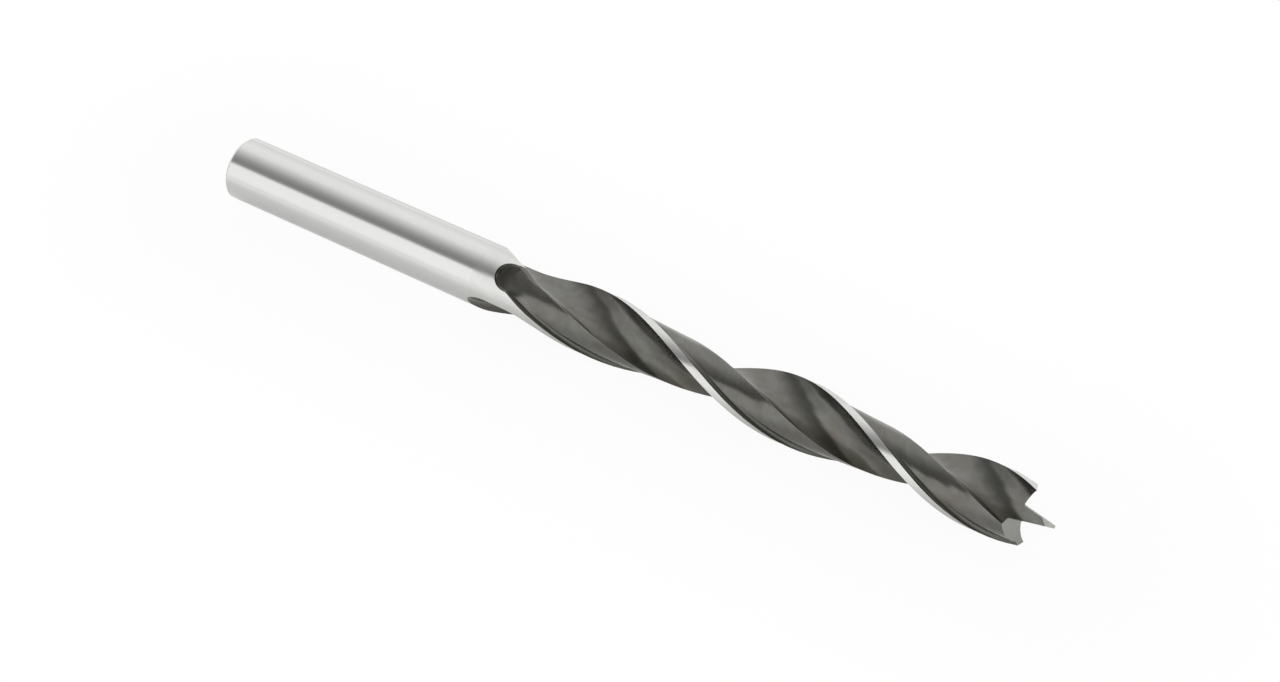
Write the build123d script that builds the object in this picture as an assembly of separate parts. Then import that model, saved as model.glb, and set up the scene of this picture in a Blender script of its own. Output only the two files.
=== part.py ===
"""Brad point drill bit for wood, 9 mm.

One bar of hardened steel. It is drawn upright, shank end at z = 0 and centre point up,
then laid on its side along +X, resting on the plane z = 0 with the point toward +X and
the middle of its length at x = 0.
All sizes are in millimetres and degrees.
"""

import os
from math import acos, asin, atan, cos, degrees, radians, sin, sqrt, tan

from build123d import *

# Bar: full size at the point, a hair thinner toward the shank so that it runs free
overall_length = 125.0
cut_diameter = 9.0
back_taper = 0.04
shank_chamfer = 0.4

# Twist: the flutes tighten toward the tip
plain_length = 40.9
lead_at_shank = 71.0
lead_at_tip = 53.4
lead_settling = 1.5

# Flutes: a round-nosed wheel cuts each one and lifts out toward the shank
web_thickness = 2.35
flute_radius = 4.75
flute_wheel_radius = 25.0
run_out_turn = 9.5

# Lands: a narrow margin keeps the full diameter, the rest is relieved behind it
margin_width = 1.08
relief_depth = 0.68
relief_fall = 0.5
relief_corner = 0.58
relief_set_back = 3.1
relief_end_width = 4.5
relief_widening = 9.0
relief_overrun = 17.0

# Tip
spur_height = 0.95
point_above_spurs = 3.35
valley_radius = 1.08
valley_corner = 0.27
point_side_angle = 10.5
lip_clearance = 22.0
point_end_half_angle = 42.0
point_end_turn = 30.0

# How the bit happens to lie
roll = 41.0

cut_radius = cut_diameter / 2
shank_radius = (cut_diameter - back_taper) / 2
web_radius = web_thickness / 2
floor_radius = cut_radius - relief_depth
spur_z = overall_length - point_above_spurs
past_bar = 1.0
section_step = 1.8


def twist(z):
    """Turn of the section at height z, counted from where the flutes end on the shank."""
    rate_low = 360.0 / lead_at_shank
    rate_high = 360.0 / lead_at_tip
    length = spur_z - plain_length
    power = lead_settling + 1
    left = max(0.0, (spur_z - z) / length)
    change = (rate_high - rate_low) * length * (1 - left**power) / power
    return rate_high * (z - plain_length) - change


def polar(radius, angle, z):
    return Vector(radius * cos(radians(angle)), radius * sin(radians(angle)), z)


def stations(z_from, z_to):
    """Evenly spaced section heights from z_from to z_to."""
    count = max(4, round((z_to - z_from) / section_step))
    return [z_from + (z_to - z_from) * i / count for i in range(count + 1)]


# Flute: the wheel's round nose clears the web, follows the twist and lifts out on the
# radius of the wheel, so the flute ends on the shank in a smooth sweep.
flute_offset = web_radius + flute_radius


def flute_half_angle(radius):
    """Half the angle that one flute takes out of a circle of this radius."""
    reach = flute_offset**2 + radius**2 - flute_radius**2
    return degrees(acos(reach / (2 * flute_offset * radius)))


flute_angle = flute_half_angle(cut_radius)
flute_depth = cut_radius - web_radius
run_out = sqrt(2 * flute_wheel_radius * flute_depth - flute_depth**2)
full_depth_z = plain_length + run_out


def flute_lift(z):
    left = max(0.0, full_depth_z - z)
    return flute_wheel_radius - sqrt(flute_wheel_radius**2 - left**2)


def flute_turn(z):
    """The wheel drifts a little off the helix while it lifts."""
    share = max(0.0, full_depth_z - z) / run_out
    return run_out_turn * min(1.0, 2.1 * share * share)


def flute_cutter():
    sections = []
    for z in stations(plain_length - past_bar, overall_length + past_bar):
        angle = twist(z) + flute_angle + flute_turn(z)
        centre = polar(flute_offset + flute_lift(z), angle, z)
        sections.append(Plane(origin=centre) * Circle(flute_radius))
    return loft(sections)


# Relief: a shallow groove behind the margin, made by a cutter with rounded corners. Along
# the flutes its floor falls away toward the heel and is open to the next flute. Near the
# shank it is narrower, with a far wall and a round end. Angles count back from the
# leading edge.
margin_angle = degrees(margin_width / cut_radius)
heel_angle = 180.0 - flute_angle - flute_half_angle(floor_radius - relief_fall)
end_radius = relief_end_width / 2
end_flat = end_radius - relief_corner
end_middle = margin_angle + degrees(asin(end_radius / cut_radius))
relief_start_z = plain_length + relief_set_back + end_radius
top_radius = cut_radius + relief_corner + past_bar
bend = relief_corner * sin(radians(45.0))


def closed_side():
    """Radius and angle from the groove's middle of one wall at the round end, foot first."""
    inside = 0.05
    corners = (
        (end_flat - inside, floor_radius + inside),
        (end_flat + bend - inside, floor_radius + relief_corner - bend + inside),
        (end_radius - inside, floor_radius + relief_corner + inside),
        (end_radius - inside, top_radius),
    )
    return [(sqrt(x * x + y * y), degrees(atan(x / y))) for x, y in corners]


def open_side(foot_radius):
    """Radius and angle from the rim of one wall along the flutes, foot first."""
    middle_radius = foot_radius + relief_corner - bend
    return [
        (foot_radius, degrees(relief_corner / foot_radius)),
        (middle_radius, degrees((relief_corner - bend) / middle_radius)),
        (foot_radius + relief_corner, 0.0),
        (top_radius, 0.0),
    ]


def relief_section(z):
    share = min(1.0, (z - relief_start_z) / relief_widening)
    quick = min(1.0, 3 * share)
    turn = twist(z)
    near = []
    for (r_end, a_end), (r_run, a_run) in zip(closed_side(), open_side(floor_radius)):
        start = end_middle - a_end
        angle = start + (margin_angle + a_run - start) * quick
        near.append(polar(r_end + (r_run - r_end) * quick, turn - angle, z))
    far = []
    far_open = open_side(floor_radius - relief_fall)
    for i, ((r_end, a_end), (r_run, a_run)) in enumerate(zip(closed_side(), far_open)):
        start = end_middle + a_end
        opening = share if i < 2 else sqrt(share)
        angle = start + (heel_angle + relief_overrun - a_run - start) * opening
        far.append(polar(r_end + (r_run - r_end) * sqrt(share), turn - angle, z))
    middle = (margin_angle + heel_angle) / 2
    chord = (near[0] + far[0]) / 2
    crown_radius = floor_radius - relief_fall * sqrt(share) / 2
    crown = chord * (crown_radius / sqrt(chord.X**2 + chord.Y**2))
    pull = Vector(2 * crown.X - chord.X, 2 * crown.Y - chord.Y, z)
    over = polar(top_radius + past_bar, turn - middle, z)
    outline = Wire(
        [
            Edge.make_bezier(near[0], pull, far[0]),
            Edge.make_three_point_arc(far[0], far[1], far[2]),
            Edge.make_line(far[2], far[3]),
            Edge.make_three_point_arc(far[3], over, near[3]),
            Edge.make_line(near[3], near[2]),
            Edge.make_three_point_arc(near[2], near[1], near[0]),
        ]
    )
    return Face(outline)


def relief_end():
    """The round end of the groove: the cutter itself, standing on the bar."""
    angle = twist(relief_start_z) - end_middle
    seat = Plane(
        origin=polar(floor_radius, angle, relief_start_z),
        x_dir=(0, 0, 1),
        z_dir=polar(1.0, angle, 0),
    )
    cutter = Cylinder(
        end_radius,
        relief_depth + past_bar,
        align=(Align.CENTER, Align.CENTER, Align.MIN),
    )
    cutter = fillet(cutter.edges().group_by(Axis.Z)[0], relief_corner)
    return seat * cutter


def relief_cutter():
    sections = [relief_section(z) for z in stations(relief_start_z, overall_length + past_bar)]
    return loft(sections) + relief_end()


# Tip: on each side a wheel runs across the end, square to the blade that the two flutes
# leave in the middle, and down toward the heel. Its face grinds the lip, which rises to
# the spur, and its edge grinds the side of the point.
def lip_cutter():
    turn = twist(spur_z) + flute_angle - 90.0
    outward = polar(1.0, turn, 0)
    ahead = polar(1.0, turn + 90.0, 0)
    spur_out = cut_radius * sin(radians(flute_angle))
    spur_ahead = cut_radius * cos(radians(flute_angle))
    valley_ahead = flute_offset - sqrt(flute_radius**2 - valley_radius**2)
    clear = tan(radians(lip_clearance))
    rise = (spur_height - (spur_ahead - valley_ahead) * clear) / (spur_out - valley_radius)
    inward = tan(radians(point_side_angle))
    reach = cut_radius + past_bar
    tall = spur_height + point_above_spurs + cut_diameter
    travel = 2 * cut_diameter
    run = ahead * cos(radians(lip_clearance)) + Vector(0, 0, sin(radians(lip_clearance)))
    start = ahead * valley_ahead + Vector(0, 0, spur_z - spur_height) - run * (travel / 2)
    profile = Polygon(
        (valley_radius, 0),
        (reach, (reach - valley_radius) * rise),
        (reach, tall),
        (valley_radius - tall * inward, tall),
        align=None,
    )
    profile = fillet(profile.vertices().sort_by(Axis.Y)[0], valley_corner)
    across = Plane(origin=start, x_dir=outward, z_dir=-ahead)
    return extrude(across * profile, amount=travel, dir=run)


def point_end_cutter():
    """One of the two ground faces that bring the blade of the point to its end."""
    turn = twist(spur_z) + flute_angle - point_end_turn
    half = radians(point_end_half_angle)
    normal = polar(cos(half), turn, sin(half))
    face = Plane(origin=(0, 0, overall_length), z_dir=normal)
    size = 4 * point_above_spurs
    low = spur_z + 0.2
    above = face * Box(size, size, size, align=(Align.CENTER, Align.CENTER, Align.MIN))
    keep = Pos(0, 0, low) * Box(size, size, size, align=(Align.CENTER, Align.CENTER, Align.MIN))
    return above & keep


def on_both_sides(cutter):
    return [cutter, Rot(0, 0, 180) * cutter]


def build_bit():
    upright = (Align.CENTER, Align.CENTER, Align.MIN)
    shank = Cylinder(shank_radius, plain_length, align=upright)
    shank = chamfer(shank.edges().group_by(Axis.Z)[0], shank_chamfer)
    body_length = overall_length - plain_length
    body = Cone(shank_radius, cut_radius, body_length, align=upright)
    bit = shank + Pos(0, 0, plain_length) * body
    for cutter in (flute_cutter(), relief_cutter(), lip_cutter(), point_end_cutter()):
        for one in on_both_sides(cutter):
            bit = bit - one
    return bit


bit = build_bit()
rest = Pos(-overall_length / 2, 0, cut_radius)
lying = rest * Rot(0, 90, 0) * Rot(0, 0, roll) * bit

os.makedirs("parts", exist_ok=True)
solid = lying.solid()
solid.label = "brad_point_bit"
export_step(solid, "parts/brad_point_bit.step")
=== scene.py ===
# %% [markdown]
# A brad point drill bit lies on a white table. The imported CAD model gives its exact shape
# and place, and this file gives it the finish of the real one: a bright ground shank, dark
# flutes, freshly ground cutting faces, and the soft light of a photographer's tent.

# %% Load the frame
from math import pi, radians, sin, cos

import bpy
import numpy as np
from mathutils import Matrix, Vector


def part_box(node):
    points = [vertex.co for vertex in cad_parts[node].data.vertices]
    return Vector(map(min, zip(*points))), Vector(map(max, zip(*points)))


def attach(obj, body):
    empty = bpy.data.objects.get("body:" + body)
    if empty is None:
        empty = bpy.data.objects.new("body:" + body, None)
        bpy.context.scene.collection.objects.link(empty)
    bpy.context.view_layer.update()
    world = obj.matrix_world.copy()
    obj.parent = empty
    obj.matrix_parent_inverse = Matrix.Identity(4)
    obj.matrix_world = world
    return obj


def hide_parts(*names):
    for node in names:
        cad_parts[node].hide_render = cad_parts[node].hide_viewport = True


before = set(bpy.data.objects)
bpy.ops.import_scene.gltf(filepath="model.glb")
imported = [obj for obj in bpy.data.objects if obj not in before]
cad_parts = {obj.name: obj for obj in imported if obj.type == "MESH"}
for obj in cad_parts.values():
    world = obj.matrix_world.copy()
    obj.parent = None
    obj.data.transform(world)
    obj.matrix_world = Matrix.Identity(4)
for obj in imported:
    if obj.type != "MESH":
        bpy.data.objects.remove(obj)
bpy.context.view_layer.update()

bit_low, bit_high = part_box("brad_point_bit")
bit_length = bit_high.x - bit_low.x
bit_radius = (bit_high.z - bit_low.z) / 2
axis_height = (bit_high.z + bit_low.z) / 2
print(f"The bit is {1000 * bit_length:.1f} mm long and {2000 * bit_radius:.2f} mm thick")

# %% [markdown]
# The camera comes first, so that every later choice can be judged from the photograph's
# side. It looks down on the bit from the front and a little from the right. The middle of
# the picture isn't quite where the lens points, so the sensor is shifted by a few pixels.

# %% Camera
photo_width = 1280
focal_pixels = 2443.3
camera_azimuth = radians(30.95)
camera_elevation = radians(47.79)
camera_distance = 0.3245
off_centre_right = 20.4
off_centre_down = 7.0
middle_of_view = -0.0004
nearest_seen = 0.01

look_at = Vector((middle_of_view, 0.0, axis_height))
toward_camera = Vector((
    sin(camera_azimuth) * cos(camera_elevation),
    -cos(camera_azimuth) * cos(camera_elevation),
    sin(camera_elevation),
))
bpy.ops.object.camera_add(location=look_at + toward_camera * camera_distance)
camera = bpy.context.object
camera.name = "photo_camera"
camera.rotation_euler = toward_camera.to_track_quat("Z", "Y").to_euler()
camera.data.lens = focal_pixels * camera.data.sensor_width / photo_width
camera.data.shift_x = off_centre_right / photo_width
camera.data.shift_y = -off_centre_down / photo_width
camera.data.clip_start = nearest_seen
bpy.context.scene.camera = camera
stands_at = [round(v, 3) for v in camera.location]
print(f"The camera stands at {stands_at} and has a lens of {camera.data.lens:.1f} mm")

# %% [markdown]
# Every finish and the light itself are made of shader nodes, so three small helpers come
# first. One adds a node with its settings. One adds the node that turns one range of numbers
# into another, which is used more than any other. The last starts a node group, which is a
# recipe that several materials can share.

# %% Helpers for nodes
def add(tree, kind, **settings):
    """A new shader node, with its settings given by name."""
    node = tree.nodes.new("ShaderNode" + kind)
    for name, value in settings.items():
        setattr(node, name, value)
    return node


def map_range(tree, low, high, to_low=0.0, to_high=1.0, smooth=False):
    """A node that turns low into to_low and high into to_high, and holds at both ends."""
    node = add(tree, "MapRange", interpolation_type="SMOOTHSTEP" if smooth else "LINEAR")
    node.inputs["From Min"].default_value = low
    node.inputs["From Max"].default_value = high
    node.inputs["To Min"].default_value = to_low
    node.inputs["To Max"].default_value = to_high
    return node


def start_group(name, inputs, outputs):
    """A new node group with named sockets. An input is its name, kind and value."""
    group = bpy.data.node_groups.new(name, "ShaderNodeTree")
    for socket, kind, value in inputs:
        made = group.interface.new_socket(socket, in_out="INPUT", socket_type="NodeSocket" + kind)
        if value is not None:
            made.default_value = value
    for socket, kind in outputs:
        group.interface.new_socket(socket, in_out="OUTPUT", socket_type="NodeSocket" + kind)
    return group, group.nodes.new("NodeGroupInput"), group.nodes.new("NodeGroupOutput")


print("Helpers:", add.__name__, map_range.__name__, start_group.__name__)

# %% [markdown]
# The bit lies on a table so wide that its edge is never seen. One plane is enough for it.

# %% Table
table_size = 6.0

bpy.ops.mesh.primitive_plane_add(size=table_size, location=(0, 0, 0))
table = bpy.context.object
table.name = "table"
print("The table is", table_size, "m wide")

# %% [markdown]
# Real light gives the white table the bit's soft shadow. What the camera and the shiny steel
# see of it is mixed with plain white, in part close to the bit and wholly farther out, so the
# ground is white without more light on the bit. The steel gets less of the white, because its
# lower side mirrors the shaded strip beside it.

# %% Table paint
table_colour = (0.93, 0.93, 0.93)
white_for_camera = 0.94
white_for_mirrors = 0.17
near_edge = 0.008
far_edge = 0.04

table_white = bpy.data.materials.new("table_white")
table_white.use_nodes = True
tree = table_white.node_tree
link = tree.links.new
tree.nodes.clear()
paint = add(tree, "BsdfDiffuse")
paint.inputs["Color"].default_value = (*table_colour, 1.0)
glow = add(tree, "Emission")
glow.inputs["Color"].default_value = (1.0, 1.0, 1.0, 1.0)
place = add(tree, "TexCoord")
beside = add(tree, "VectorMath", operation="ABSOLUTE")
past_ends = add(tree, "VectorMath", operation="SUBTRACT")
past_ends.inputs[1].default_value = (bit_high.x, 0.0, 0.0)
clear_of_bit = add(tree, "VectorMath", operation="MAXIMUM")
distance = add(tree, "VectorMath", operation="LENGTH")
ray = add(tree, "LightPath")
mirrored = add(tree, "Math", operation="MAXIMUM")
white_shares = []
for nearest in (white_for_camera, white_for_mirrors):
    share = map_range(tree, near_edge, far_edge, to_low=nearest, smooth=True)
    link(distance.outputs["Value"], share.inputs["Value"])
    counted = add(tree, "Math", operation="MULTIPLY")
    link(share.outputs["Result"], counted.inputs[0])
    white_shares.append(counted)
to_camera, to_mirrors = white_shares
either = add(tree, "Math", operation="ADD")
blend = add(tree, "MixShader")
surface = add(tree, "OutputMaterial")
link(place.outputs["Object"], beside.inputs[0])
link(beside.outputs["Vector"], past_ends.inputs[0])
link(past_ends.outputs["Vector"], clear_of_bit.inputs[0])
link(clear_of_bit.outputs["Vector"], distance.inputs[0])
link(ray.outputs["Is Glossy Ray"], mirrored.inputs[0])
link(ray.outputs["Is Transmission Ray"], mirrored.inputs[1])
link(ray.outputs["Is Camera Ray"], to_camera.inputs[1])
link(mirrored.outputs[0], to_mirrors.inputs[1])
link(to_camera.outputs[0], either.inputs[0])
link(to_mirrors.outputs[0], either.inputs[1])
link(either.outputs[0], blend.inputs["Fac"])
link(paint.outputs[0], blend.inputs[1])
link(glow.outputs[0], blend.inputs[2])
link(blend.outputs[0], surface.inputs["Surface"])
table.data.materials.append(table_white)
print(f"White added close to the bit: {white_for_camera}, in mirrors {white_for_mirrors}")

# %% [markdown]
# Polished steel has hardly any look of its own: it shows the room. So the room is made with
# care, as a light tent that is bright in front and behind, with a dark gap overhead that
# shows as the dark stripe down the shank. Its brightness is given in steps, once round the
# bit, by the angle in degrees, and once along it, from left to right. A colour ramp joins
# the steps by straight lines.

# %% Brightness of the tent
tent_round_the_bit = (
    (0, 1.04),
    (8, 1.18),
    (46, 1.16),
    (54.5, 0.335),
    (65, 0.275),
    (80, 0.41),
    (98, 0.69),
    (118, 1.02),
    (143, 1.08),
    (163, 0.97),
    (180, 0.9),
)
tent_along_the_bit = (
    (-1.0, 1.0),
    (-0.04, 1.0),
    (0.08, 0.43),
    (0.35, 0.34),
    (1.0, 0.28),
)
room_warmth = 0.12


def brightness_ramp(tree, steps, warmth=0.0):
    """A colour ramp through steps of place and brightness, its darks a little warm.

    Gives the ramp's input and output, and the brightness that its white stands for.
    """
    first, last = steps[0][0], steps[-1][0]
    strongest = max(value for _, value in steps)
    spread = map_range(tree, first, last)
    ramp = add(tree, "ValToRGB")
    while len(ramp.color_ramp.elements) < len(steps):
        ramp.color_ramp.elements.new(0.5)
    for element, (at, value) in zip(ramp.color_ramp.elements, steps):
        level = value / strongest
        element.position = (at - first) / (last - first)
        element.color = (level, level, level * (1 - warmth * (1 - level)), 1.0)
    tree.links.new(spread.outputs["Result"], ramp.inputs["Fac"])
    return spread.inputs["Value"], ramp.outputs["Color"], strongest


print(len(tent_round_the_bit), "steps round the bit,", len(tent_along_the_bit), "along it")

# %% [markdown]
# The world shader turns each direction into an angle round the bit, 0 at the front horizon,
# 90 overhead and 180 behind, and the first ramp gives the brightness there. The second ramp
# darkens the right, where the tent ends and the room begins.

# %% Light tent
world = bpy.data.worlds.new("light_tent")
bpy.context.scene.world = world
world.use_nodes = True
tree = world.node_tree
link = tree.links.new
tree.nodes.clear()
place = add(tree, "TexCoord")
split = add(tree, "SeparateXYZ")
frontward = add(tree, "Math", operation="MULTIPLY")
frontward.inputs[1].default_value = -1.0
angle = add(tree, "Math", operation="ARCTAN2")
in_degrees = add(tree, "Math", operation="DEGREES")
angle_in, round_out, tent_strength = brightness_ramp(tree, tent_round_the_bit)
along_in, along_out, _ = brightness_ramp(tree, tent_along_the_bit, room_warmth)
link(place.outputs["Generated"], split.inputs[0])
link(split.outputs["Y"], frontward.inputs[0])
link(split.outputs["Z"], angle.inputs[0])
link(frontward.outputs[0], angle.inputs[1])
link(angle.outputs[0], in_degrees.inputs[0])
link(in_degrees.outputs[0], angle_in)
link(split.outputs["X"], along_in)
print("The tent is", tent_strength, "at its brightest")

# %% [markdown]
# The front of the tent also fades toward the left, which is the third factor of its
# brightness. The second and third don't reach the skirt of the tent close to the table, so
# that stays white all along.

# %% Fade and skirt
fade_start = -0.5
fade_end = -0.95
faded = 0.38
front_edge = 45.0
front_gone = 60.0
skirt_low = 0.03
skirt_high = 0.12

above_skirt = map_range(tree, skirt_low, skirt_high)
both = add(tree, "Mix", data_type="RGBA", blend_type="MULTIPLY")
fade = map_range(tree, fade_start, fade_end, to_low=1.0, to_high=faded)
in_front = map_range(tree, front_gone, front_edge)
fade_share = add(tree, "Math", operation="MULTIPLY")
all_three = add(tree, "Mix", data_type="RGBA", blend_type="MULTIPLY")
tent = add(tree, "Background")
tent.inputs["Strength"].default_value = tent_strength
world_out = add(tree, "OutputWorld")
link(split.outputs["Z"], above_skirt.inputs["Value"])
link(round_out, both.inputs["A"])
link(along_out, both.inputs["B"])
link(above_skirt.outputs["Result"], both.inputs["Factor"])
link(split.outputs["X"], fade.inputs["Value"])
link(in_degrees.outputs[0], in_front.inputs["Value"])
link(in_front.outputs["Result"], fade_share.inputs[0])
link(above_skirt.outputs["Result"], fade_share.inputs[1])
link(fade_share.outputs[0], all_three.inputs["Factor"])
link(both.outputs["Result"], all_three.inputs["A"])
link(fade.outputs["Result"], all_three.inputs["B"])
link(all_three.outputs["Result"], tent.inputs["Color"])
link(tent.outputs[0], world_out.inputs["Surface"])
print("The left end of the tent's front keeps", faded, "of its light")

# %% [markdown]
# Two lamps help the tent. A wide one from the front lights the table and gives the shadow a
# side. It is hidden from reflections, because the tent already gives those. A small one
# behind the point puts a gleam on the two little faces that end it.

# %% Lamps
def add_lamp(name, location, size, strength, aim):
    """A square lamp that stands at a location and is turned toward the aim."""
    bpy.ops.object.light_add(type="AREA", location=location)
    lamp = bpy.context.object
    lamp.name = name
    lamp.data.size = size
    lamp.data.energy = strength * pi * size * size
    lamp.rotation_euler = (Vector(location) - Vector(aim)).to_track_quat("Z", "Y").to_euler()
    return lamp


table_lamp = add_lamp(
    "table_lamp", location=(0.2, -0.5, 0.8), size=0.5, strength=3.4, aim=(0, 0, 0)
)
table_lamp.visible_glossy = False
point_lamp = add_lamp(
    "point_lamp", location=(0.425, 0.135, 0.233), size=0.22, strength=1.3, aim=bit_high
)
print("Lamps:", table_lamp.name, point_lamp.name)

# %% [markdown]
# The flutes wind round the bit, so marks left by the grinding wheel wind with them. This
# group turns each place back by the twist at its length. In the turned frame the flutes run
# straight along X and open toward plus and minus Y, and a plain noise stretched along X
# follows them. As on the CAD model, the twist tightens toward the tip.

# %% Group: along the twist
plain_length = 0.0409
length_to_spurs = 0.12165
lead_at_shank = 0.071
lead_at_tip = 0.0534
settling = 2.5

flutes_begin = bit_low.x + plain_length
flutes_end = bit_low.x + length_to_spurs
turns_per_metre = 1 / lead_at_tip
slower_at_first = 1 / lead_at_tip - 1 / lead_at_shank
turns_behind = slower_at_first * (flutes_end - flutes_begin) / settling

along_the_twist, start, end = start_group(
    "along_the_twist", [("Vector", "Vector", None)], [("Vector", "Vector")]
)
centre = add(along_the_twist, "Mapping")
centre.inputs["Location"].default_value = (0.0, 0.0, -axis_height)
length_part = add(along_the_twist, "SeparateXYZ")
steady = add(along_the_twist, "Math", operation="MULTIPLY_ADD")
steady.inputs[1].default_value = turns_per_metre
steady.inputs[2].default_value = -turns_per_metre * flutes_begin
to_go = map_range(along_the_twist, flutes_end, flutes_begin)
to_go.clamp = False
not_past = add(along_the_twist, "Math", operation="MAXIMUM")
not_past.inputs[1].default_value = 0.0
eased = add(along_the_twist, "Math", operation="POWER")
eased.inputs[1].default_value = settling
behind = add(along_the_twist, "Math", operation="MULTIPLY_ADD")
behind.inputs[1].default_value = turns_behind
turns = add(along_the_twist, "Math", operation="MULTIPLY_ADD")
turns.inputs[1].default_value = -2 * pi
turns.inputs[2].default_value = 2 * pi * turns_behind
straighten = add(along_the_twist, "VectorRotate", rotation_type="X_AXIS")
link = along_the_twist.links.new
link(start.outputs["Vector"], centre.inputs["Vector"])
link(centre.outputs["Vector"], length_part.inputs[0])
link(length_part.outputs["X"], steady.inputs[0])
link(length_part.outputs["X"], to_go.inputs["Value"])
link(to_go.outputs["Result"], not_past.inputs[0])
link(not_past.outputs[0], eased.inputs[0])
link(eased.outputs[0], behind.inputs[0])
link(steady.outputs[0], behind.inputs[2])
link(behind.outputs[0], turns.inputs[0])
link(centre.outputs["Vector"], straighten.inputs["Vector"])
link(turns.outputs[0], straighten.inputs["Angle"])
link(straighten.outputs["Vector"], end.inputs["Vector"])
print("Group", along_the_twist.name)

# %% [markdown]
# A flute's wall that ends in the heel gets painted shade: its colour is darkened in place of
# the darker reflection that wall shows, while the wall that ends in the cutting edge is left as
# it is. The group marks that darker wall. It also gives the height of a slight lean: the floor
# of each flute faces a few degrees round from its opening. Both go one way in the flute that
# opens toward plus Y and the other way in its twin.

# %% Group: flute walls
heel_wall_full = 0.0008
lean_width = 0.0015

flute_walls, start, end = start_group(
    "flute_walls",
    [("Vector", "Vector", None), ("Dullness", "Float", 0.0), ("Lean", "Float", 0.0)],
    [("Heel wall", "Float"), ("Height", "Float")],
)
split = add(flute_walls, "SeparateXYZ")
which_flute = add(flute_walls, "Math", operation="SIGN")
sideways = add(flute_walls, "Math", operation="MULTIPLY")
# The mask of the heel wall, which gets painted shade
heel_wall = map_range(flute_walls, 0.0, heel_wall_full, smooth=True)
in_widths = add(flute_walls, "Math", operation="DIVIDE")
in_widths.inputs[1].default_value = lean_width
levelled = add(flute_walls, "Math", operation="TANH")
in_metres = add(flute_walls, "Math", operation="MULTIPLY")
in_metres.inputs[1].default_value = lean_width
height = add(flute_walls, "Math", operation="MULTIPLY")
link = flute_walls.links.new
link(start.outputs["Vector"], split.inputs[0])
link(split.outputs["Y"], which_flute.inputs[0])
link(split.outputs["Z"], sideways.inputs[0])
link(which_flute.outputs[0], sideways.inputs[1])
link(sideways.outputs[0], heel_wall.inputs["Value"])
link(start.outputs["Dullness"], heel_wall.inputs["To Max"])
link(heel_wall.outputs["Result"], end.inputs["Heel wall"])
link(sideways.outputs[0], in_widths.inputs[0])
link(in_widths.outputs[0], levelled.inputs[0])
link(levelled.outputs[0], in_metres.inputs[0])
link(in_metres.outputs[0], height.inputs[0])
link(start.outputs["Lean"], height.inputs[1])
link(height.outputs[0], end.inputs["Height"])
print("Group", flute_walls.name)

# %% [markdown]
# A grinding wheel leaves fine lines in its own direction. They are a noise that is drawn out
# one way and packed tight the other way. The same group serves the shank, where they run
# round it, and the flutes, where they run along.

# %% Group: grinding lines
grinding_lines, start, end = start_group(
    "grinding_lines",
    [("Vector", "Vector", None), ("Along X", "Float", 300.0), ("Across X", "Float", 300.0)],
    [("Lines", "Float")],
)
scale = add(grinding_lines, "CombineXYZ")
stretch = add(grinding_lines, "VectorMath", operation="MULTIPLY")
noise = add(grinding_lines, "TexNoise")
noise.inputs["Scale"].default_value = 1.0
noise.inputs["Detail"].default_value = 3.0
link = grinding_lines.links.new
link(start.outputs["Along X"], scale.inputs["X"])
link(start.outputs["Across X"], scale.inputs["Y"])
link(start.outputs["Across X"], scale.inputs["Z"])
link(start.outputs["Vector"], stretch.inputs[0])
link(scale.outputs[0], stretch.inputs[1])
link(stretch.outputs["Vector"], noise.inputs["Vector"])
link(noise.outputs["Fac"], end.inputs["Lines"])
print("Group", grinding_lines.name)

# %% [markdown]
# Hardened steel comes out of the furnace with a thin dark skin that is never quite even. The
# group gives soft patches, from 0 to 1, with a choice of how large and how marked they are.

# %% Group: mottling
mottling, start, end = start_group(
    "mottling",
    [("Vector", "Vector", None), ("Per metre", "Float", 400.0), ("Contrast", "Float", 1.0)],
    [("Patches", "Float")],
)
noise = add(mottling, "TexNoise")
noise.inputs["Detail"].default_value = 4.0
noise.inputs["Roughness"].default_value = 0.55
noise.inputs["Distortion"].default_value = 0.6
about_zero = add(mottling, "Math", operation="SUBTRACT")
about_zero.inputs[1].default_value = 0.5
marked = add(mottling, "Math", operation="MULTIPLY")
about_half = add(mottling, "Math", operation="ADD", use_clamp=True)
about_half.inputs[1].default_value = 0.5
link = mottling.links.new
link(start.outputs["Vector"], noise.inputs["Vector"])
link(start.outputs["Per metre"], noise.inputs["Scale"])
link(noise.outputs["Fac"], about_zero.inputs[0])
link(about_zero.outputs[0], marked.inputs[0])
link(start.outputs["Contrast"], marked.inputs[1])
link(marked.outputs[0], about_half.inputs[0])
link(about_half.outputs[0], end.inputs["Patches"])
print("Group", mottling.name)

# %% [markdown]
# A surface ground by hand is also a little wavy. One cannot see the waves themselves, only
# how they break up the edge of a reflection. They are twice as long along the steel as they
# are wide, and the group gives their height in metres.

# %% Group: waves
wave_stretch = 2.0

waves, start, end = start_group(
    "waves",
    [("Vector", "Vector", None), ("Per metre", "Float", 400.0), ("Height", "Float", 0.00001)],
    [("Height", "Float")],
)
lengthwise = add(waves, "Mapping")
lengthwise.inputs["Scale"].default_value = (1 / wave_stretch, 1.0, 1.0)
noise = add(waves, "TexNoise")
noise.inputs["Detail"].default_value = 1.0
height = add(waves, "Math", operation="MULTIPLY")
link = waves.links.new
link(start.outputs["Vector"], lengthwise.inputs["Vector"])
link(lengthwise.outputs["Vector"], noise.inputs["Vector"])
link(start.outputs["Per metre"], noise.inputs["Scale"])
link(noise.outputs["Fac"], height.inputs[0])
link(start.outputs["Height"], height.inputs[1])
link(height.outputs[0], end.inputs["Height"])
print("Group", waves.name)
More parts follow.
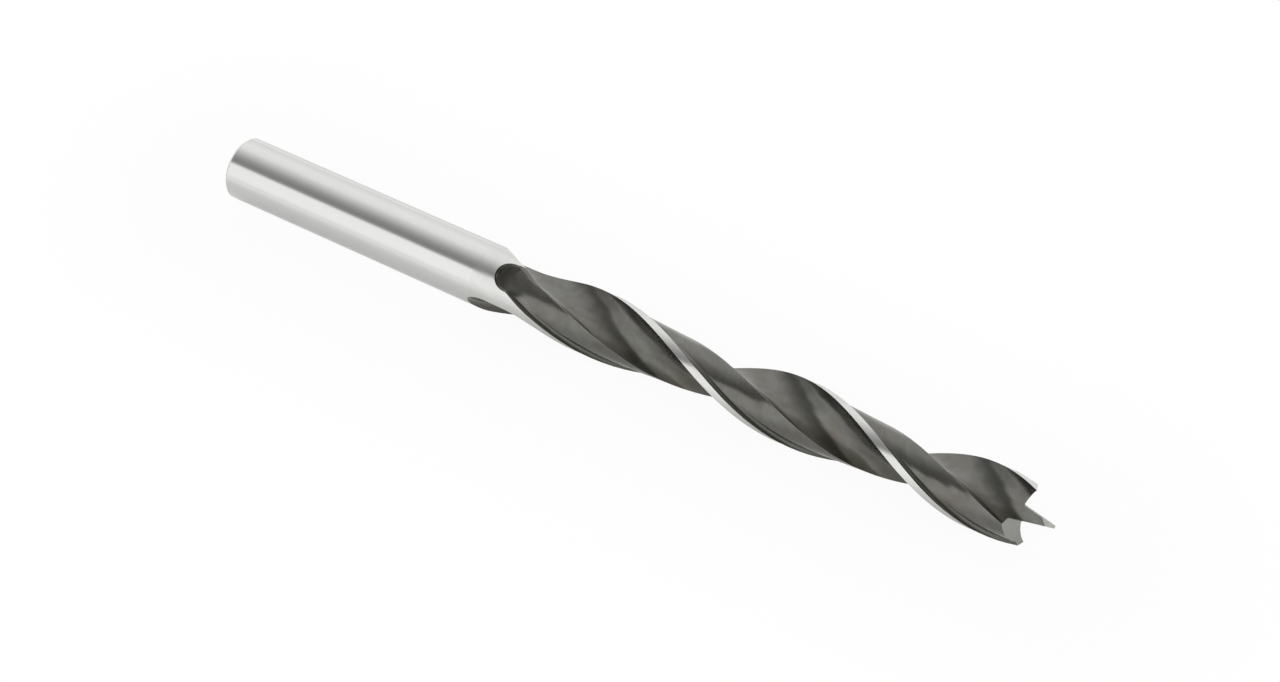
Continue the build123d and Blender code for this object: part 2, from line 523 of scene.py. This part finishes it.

# %% [markdown]
# Behind each margin runs a shallow groove. Its round end near the shank gets painted shade: a
# dark crescent of colour in place of the shade on the curved floor of that end. The group gives
# the asked strength at that end and fades to 0 toward the tip. Only the end that lies above the
# axis is darkened so, and the one underneath gets 0.

# %% Group: groove end
crescent_dark = bit_low.x + 0.0449
crescent_clear = bit_low.x + 0.0476
near_axis = 0.001

groove_end, start, end = start_group(
    "groove_end", [("Vector", "Vector", None), ("Strength", "Float", 0.0)], [("Shaded", "Float")]
)
split = add(groove_end, "SeparateXYZ")
# How strongly the crescent of painted shade darkens each place
thick = map_range(groove_end, crescent_clear, crescent_dark, smooth=True)
facing_up = map_range(groove_end, axis_height - near_axis, axis_height + near_axis, smooth=True)
link = groove_end.links.new
link(start.outputs["Vector"], split.inputs[0])
link(split.outputs["X"], thick.inputs["Value"])
link(split.outputs["Z"], facing_up.inputs["Value"])
link(start.outputs["Strength"], facing_up.inputs["To Max"])
link(facing_up.outputs["Result"], thick.inputs["To Max"])
link(thick.outputs["Result"], end.inputs["Shaded"])
print("Group", groove_end.name)

# %% [markdown]
# Where two ground faces meet, a painted highlight lightens a hair's breadth of the edge, in
# place of the light that a slightly rounded edge would catch. The Bevel node gives the direction
# that a rounded edge would have, and where that differs from the real one there is an edge. The
# two agree by 1 where the steel is flat.

# %% Group: edge highlights
flat_agreement = 0.99
edge_agreement = 0.9

edge_highlights, start, end = start_group(
    "edge_highlights", [("Width", "Float", 0.0001)], [("Mask", "Float")]
)
rounded = add(edge_highlights, "Bevel", samples=4)
real = add(edge_highlights, "NewGeometry")
agreement = add(edge_highlights, "VectorMath", operation="DOT_PRODUCT")
# The mask of the painted highlight along the edges
mask = map_range(edge_highlights, flat_agreement, edge_agreement, smooth=True)
link = edge_highlights.links.new
link(start.outputs["Width"], rounded.inputs["Radius"])
link(rounded.outputs["Normal"], agreement.inputs[0])
link(real.outputs["Normal"], agreement.inputs[1])
link(agreement.outputs["Value"], mask.inputs["Value"])
link(mask.outputs["Result"], end.inputs["Mask"])
print("Group", edge_highlights.name)

# %% [markdown]
# Every finish is bare steel. What sets them apart is how much light they send back, how
# polished they are, and how strong the lines, patches and waves show. So one function builds
# a steel from these few choices.

# %% Steel
brown_patches = {"Per_metre": 170.0, "Contrast": 4.0}
# Colour shares for painted shade: on a flute's heel wall, then at a groove's end
wall_shade_share = (0.84, 0.83, 0.79)
crescent_shade_share = (0.4, 0.4, 0.385)


def use_group(tree, group, **values):
    """A node that uses a group, with some of its inputs set by name."""
    node = tree.nodes.new("ShaderNodeGroup")
    node.node_tree = group
    for name, value in values.items():
        node.inputs[name.replace("_", " ")].default_value = value
    return node


def steel(
    name, bright, dull, brown, edge, polish, patches, wave, lines, wound, line_depth,
    film=0.0, matte=0.0, wall_shade=0.0, lean=0.0, crescent=0.0,
):
    """Bare steel.

    bright and dull are the colours of its patches, brown is what dull turns to in places,
    and edge is the colour of the painted highlight along its edges. polish is the roughness
    of the brightest and the dullest patches. patches, wave and lines set the groups for
    mottling, waves and grinding lines. wound tells whether the lines follow the twist, and
    line_depth is their depth in metres. film is how much of a clear oil film the steel wears,
    and matte is how much of the light its skin scatters. dullness is how much painted shade
    darkens a flute's heel wall, lean is how much the floor of a flute tilts, and crescent is
    how much painted shade darkens a groove's end.
    lean is how much the floor of a flute tilts, and crescent is how dark a groove's end is.
    """
    material = bpy.data.materials.new(name)
    material.use_nodes = True
    tree = material.node_tree
    link = tree.links.new
    shader = tree.nodes["Principled BSDF"]
    shader.inputs["Metallic"].default_value = 1.0 - matte
    shader.inputs["Coat Weight"].default_value = film
    shader.inputs["Coat Roughness"].default_value = polish[0]
    place = add(tree, "TexCoord")
    along = use_group(tree, along_the_twist)
    patchy = use_group(tree, mottling, **patches)
    hue = use_group(tree, mottling, **brown_patches)
    wavy = use_group(tree, waves, **wave)
    walls = use_group(tree, flute_walls, Dullness=wall_shade, Lean=lean)
    ground = use_group(tree, grinding_lines, **lines)
    crescent_shade = use_group(tree, groove_end, Strength=crescent)
    highlighted_edges = use_group(tree, edge_highlights)
    link(place.outputs["Object"], along.inputs["Vector"])
    link(place.outputs["Object"], crescent_shade.inputs["Vector"])
    for node in (patchy, hue, wavy, walls):
        link(along.outputs["Vector"], node.inputs["Vector"])
    line_frame = along.outputs["Vector"] if wound else place.outputs["Object"]
    link(line_frame, ground.inputs["Vector"])

    # Colour: patches, then painted shade on the heel wall and at the groove's end, then painted
    # highlights along the edges
    darks = add(tree, "Mix", data_type="RGBA")
    darks.inputs["A"].default_value = (*dull, 1.0)
    darks.inputs["B"].default_value = (*brown, 1.0)
    skin = add(tree, "Mix", data_type="RGBA")
    skin.inputs["B"].default_value = (*bright, 1.0)
    # Painted shade on the heel wall
    heel_shade = add(tree, "Mix", data_type="RGBA", blend_type="MULTIPLY")
    heel_shade.inputs["B"].default_value = (*wall_shade_share, 1.0)
    # Painted shade at the groove's end
    thick = add(tree, "Mix", data_type="RGBA", blend_type="MULTIPLY")
    thick.inputs["B"].default_value = (*crescent_shade_share, 1.0)
    # Painted highlight along the edges
    highlighted = add(tree, "Mix", data_type="RGBA")
    highlighted.inputs["B"].default_value = (*edge, 1.0)
    link(hue.outputs["Patches"], darks.inputs["Factor"])
    link(darks.outputs["Result"], skin.inputs["A"])
    link(patchy.outputs["Patches"], skin.inputs["Factor"])
    link(skin.outputs["Result"], heel_shade.inputs["A"])
    link(walls.outputs["Heel wall"], heel_shade.inputs["Factor"])
    link(heel_shade.outputs["Result"], thick.inputs["A"])
    link(crescent_shade.outputs["Shaded"], thick.inputs["Factor"])
    link(thick.outputs["Result"], highlighted.inputs["A"])
    link(highlighted_edges.outputs["Mask"], highlighted.inputs["Factor"])
    link(highlighted.outputs["Result"], shader.inputs["Base Color"])

    # Polish: the brighter a patch is, the smoother
    gloss = map_range(tree, 0.0, 1.0, to_low=polish[1], to_high=polish[0])
    link(patchy.outputs["Patches"], gloss.inputs["Value"])
    link(gloss.outputs["Result"], shader.inputs["Roughness"])

    # Relief: waves, lean and lines add up to one height
    shape = add(tree, "Math", operation="ADD")
    height = add(tree, "Math", operation="MULTIPLY_ADD")
    height.inputs[1].default_value = line_depth
    bump = add(tree, "Bump")
    bump.inputs["Distance"].default_value = 1.0
    link(wavy.outputs["Height"], shape.inputs[0])
    link(walls.outputs["Height"], shape.inputs[1])
    link(ground.outputs["Lines"], height.inputs[0])
    link(shape.outputs[0], height.inputs[2])
    link(height.outputs[0], bump.inputs["Height"])
    link(bump.outputs["Normal"], shader.inputs["Normal"])
    link(bump.outputs["Normal"], shader.inputs["Coat Normal"])
    return material


print("A steel is made of", len(bpy.data.node_groups), "groups")

# %% [markdown]
# The outside of the bit is ground bright: the shank very finely, the margins a little less
# so. The lines of the wheel run round it, so they are packed tight along X.

# %% Ground steels
ground_steel = steel(
    "ground_steel",
    bright=(0.71, 0.713, 0.7),
    dull=(0.68, 0.683, 0.67),
    brown=(0.685, 0.68, 0.665),
    edge=(0.73, 0.73, 0.72),
    polish=(0.12, 0.16),
    lines={"Along_X": 12000.0, "Across_X": 150.0},
    wound=False,
    line_depth=0.0000004,
    patches={"Per_metre": 300.0, "Contrast": 1.0},
    wave={"Per_metre": 120.0, "Height": 0.00004},
)
margin_steel = steel(
    "margin_steel",
    bright=(0.71, 0.713, 0.7),
    dull=(0.65, 0.653, 0.632),
    brown=(0.66, 0.65, 0.63),
    edge=(0.73, 0.73, 0.72),
    polish=(0.19, 0.26),
    lines={"Along_X": 9000.0, "Across_X": 200.0},
    wound=False,
    line_depth=0.0000008,
    patches={"Per_metre": 700.0, "Contrast": 1.5},
    wave={"Per_metre": 400.0, "Height": 0.00006},
)
print("Steels:", ground_steel.name, margin_steel.name)

# %% [markdown]
# The flutes and the grooves still have the dark skin of the furnace, with a little oil on it,
# and their lines follow the twist. They share one set of choices. A flute adds painted shade
# on its heel wall and the lean of its floor, and a groove painted shade at its end, where the
# rounded corner is also rougher.

# %% Steels with a dark skin
flute_lean = -0.16
corner_crescent = 0.7

dark_skin = dict(
    bright=(0.168, 0.169, 0.158),
    dull=(0.105, 0.105, 0.088),
    brown=(0.12, 0.105, 0.085),
    edge=(0.29, 0.29, 0.28),
    polish=(0.18, 0.24),
    lines={"Along_X": 120.0, "Across_X": 2500.0},
    wound=True,
    line_depth=0.0000015,
    patches={"Per_metre": 380.0, "Contrast": 2.0},
    wave={"Per_metre": 420.0, "Height": 0.00015},
    film=0.6,
    matte=0.07,
)
flute_steel = steel("flute_steel", **dark_skin, wall_shade=1.0, lean=flute_lean)
groove_steel = steel("groove_steel", **dark_skin, crescent=1.0)
corner_skin = dict(dark_skin, polish=(0.34, 0.4), wave={"Per_metre": 420.0, "Height": 0.00003})
corner_steel = steel("corner_steel", **corner_skin, crescent=corner_crescent)
print("Steels:", flute_steel.name, groove_steel.name, corner_steel.name)

# %% [markdown]
# The faces of the tip are ground last, through the skin, so they are lighter than the flutes
# but not as fine as the shank. Then each finish gets the name by which the panels of the bit
# will ask for it.

# %% Steel of the tip
lip_steel = steel(
    "lip_steel",
    bright=(0.373, 0.376, 0.355),
    dull=(0.333, 0.336, 0.315),
    brown=(0.34, 0.333, 0.31),
    edge=(0.5, 0.5, 0.49),
    polish=(0.24, 0.32),
    lines={"Along_X": 9000.0, "Across_X": 300.0},
    wound=True,
    line_depth=0.000001,
    patches={"Per_metre": 900.0, "Contrast": 1.5},
    wave={"Per_metre": 900.0, "Height": 0.00001},
)
steels = {
    "flute": flute_steel,
    "groove": groove_steel,
    "corner": corner_steel,
    "ground": ground_steel,
    "margin": margin_steel,
    "lip": lip_steel,
}
print("Finishes:", ", ".join(steels))

# %% [markdown]
# The bit itself is a copy of the CAD mesh, which stands for it in the picture. The copy
# comes as loose panels, one for each surface of the solid. Panels are found by walking from
# each face to the faces that share a corner with it.

# %% Copy the bit
cad_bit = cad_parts["brad_point_bit"]
bpy.ops.object.select_all(action="DESELECT")
cad_bit.select_set(True)
bpy.context.view_layer.objects.active = cad_bit
bpy.ops.object.duplicate()
bit = bpy.context.object
bit.name = "bit"
bit.parent = None
bit.data.materials.clear()
for material in steels.values():
    bit.data.materials.append(material)


def loose_panels(mesh):
    """The faces of the mesh in groups that hang together."""
    faces_at = [[] for _ in mesh.vertices]
    for face in mesh.polygons:
        for corner in face.vertices:
            faces_at[corner].append(face.index)
    unseen = set(range(len(mesh.polygons)))
    found = []
    while unseen:
        panel = [unseen.pop()]
        for index in panel:
            for corner in mesh.polygons[index].vertices:
                for other in faces_at[corner]:
                    if other in unseen:
                        unseen.remove(other)
                        panel.append(other)
        found.append(panel)
    return found


def corners_of(mesh, panel):
    """The corners of the faces in a panel, each once."""
    return {corner for index in panel for corner in mesh.polygons[index].vertices}


mesh = bit.data
panels = loose_panels(mesh)
print("The copy has", len(mesh.polygons), "faces in", len(panels), "panels")

# %% [markdown]
# Each panel gets its finish by its place. What keeps the full thickness all over is the
# ground shank or a narrow margin beside a flute, and what lies wholly at the tip is a cutting
# face. Of the rest, the flutes reach down to the core and the grooves behind the margins
# don't. The rounded corner at the end of a groove is the one that also comes up to the rim.

# %% Finishes
rim_allowance = 0.00004
end_face = bit_low.x + 0.0006
tip_faces = bit_high.x - 0.006
first_margin = bit_low.x + 0.0405
near_core = 0.002
groove_ends = bit_low.x + 0.0466
high_up = bit_radius - 0.0003


def off_axis(place):
    """The part of a place on the bit that points away from the bit's axis."""
    return Vector((0.0, place.y, place.z - axis_height))


def is_round(places):
    """Whether all these places keep the full thickness of the bit."""
    return min(off_axis(place).length for place in places) > bit_radius - rim_allowance


def finish_of(places):
    """The finish of a panel, by where its corners are."""
    if is_round(places):
        return "margin" if min(place.x for place in places) > first_margin else "ground"
    if max(place.x for place in places) < end_face:
        return "ground"
    if min(place.x for place in places) > tip_faces:
        return "lip"
    if min(off_axis(place).length for place in places) < near_core:
        return "flute"
    at_end = max(place.x for place in places) < groove_ends
    reaches_rim = max(off_axis(place).length for place in places) > high_up
    return "corner" if at_end and reaches_rim else "groove"


finishes = list(steels)
panel_finish = []
for panel in panels:
    finish = finish_of([mesh.vertices[corner].co for corner in corners_of(mesh, panel)])
    panel_finish.append(finish)
    for index in panel:
        mesh.polygons[index].material_index = finishes.index(finish)
print({finish: panel_finish.count(finish) for finish in finishes})

# %% [markdown]
# The corners of the mesh lie exactly on the steel, but its long thin triangles don't, and
# shading by their tilt leaves dark notches beside every edge. So the direction at each corner
# is worked out anew. On the round parts it points straight away from the axis. Elsewhere a
# small curved patch is fitted through the corners around, and its tilt is taken.

# %% Directions at the corners
closest_place = 0.01
smallest_part = 1e-6


def patch_direction(places, tilt):
    """The direction of the surface at the first of some places on it, which is near tilt.

    A curved patch is fitted through them by least squares, and nearer places weigh more.
    """
    across = tilt.orthogonal().normalized()
    along = tilt.cross(across)
    steps = [place - places[0] for place in places[1:]]
    reach = sum(step.length for step in steps) / len(steps)
    rows = []
    rises = []
    for step in steps:
        x = step.dot(across) / reach
        y = step.dot(along) / reach
        weight = 1 / (x * x + y * y + closest_place)
        rows.append([weight * v for v in (x, y, x * x, x * y, y * y)])
        rises.append(weight * step.dot(tilt) / reach)
    slopes = np.linalg.lstsq(np.array(rows), np.array(rises), rcond=smallest_part)[0]
    return (tilt - across * slopes[0] - along * slopes[1]).normalized()


def fitted_directions(mesh, panel):
    """The direction of a panel at each of its corners."""
    ring = {}
    tilt = {}
    for index in panel:
        face = mesh.polygons[index]
        for corner in face.vertices:
            ring.setdefault(corner, set()).update(face.vertices)
            tilt[corner] = tilt.get(corner, Vector()) + face.normal * face.area
    directions = {}
    for corner in ring:
        around = set().union(*(ring[other] for other in ring[corner]))
        around.discard(corner)
        places = [mesh.vertices[i].co for i in (corner, *sorted(around))]
        directions[corner] = patch_direction(places, tilt[corner].normalized())
    return directions


directions = [Vector()] * len(mesh.loops)
for panel in panels:
    places = {corner: mesh.vertices[corner].co for corner in corners_of(mesh, panel)}
    if is_round(places.values()):
        of_corner = {corner: off_axis(place).normalized() for corner, place in places.items()}
    else:
        of_corner = fitted_directions(mesh, panel)
    for index in panel:
        face = mesh.polygons[index]
        for loop, corner in zip(face.loop_indices, face.vertices):
            directions[loop] = of_corner[corner]
print("Directions at", len(directions), "corners")

# %% [markdown]
# Now the panels are welded into one closed skin, and the directions are put back on it.
# Welding keeps the faces and their order, so each direction finds its corner again.

# %% Weld the panels
weld_distance = 1e-7

bpy.ops.object.mode_set(mode="EDIT")
bpy.ops.mesh.select_all(action="SELECT")
bpy.ops.mesh.remove_doubles(threshold=weld_distance)
bpy.ops.mesh.select_all(action="DESELECT")
bpy.ops.object.mode_set(mode="OBJECT")
bpy.ops.object.shade_smooth()
mesh.normals_split_custom_set(directions)
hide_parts("brad_point_bit")
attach(bit, "root")
print("The bit has", len(mesh.vertices), "corners after welding")

# %% [markdown]
# The plain Standard view shows each colour as it is written.

# %% Finish
bpy.context.scene.view_settings.view_transform = "Standard"
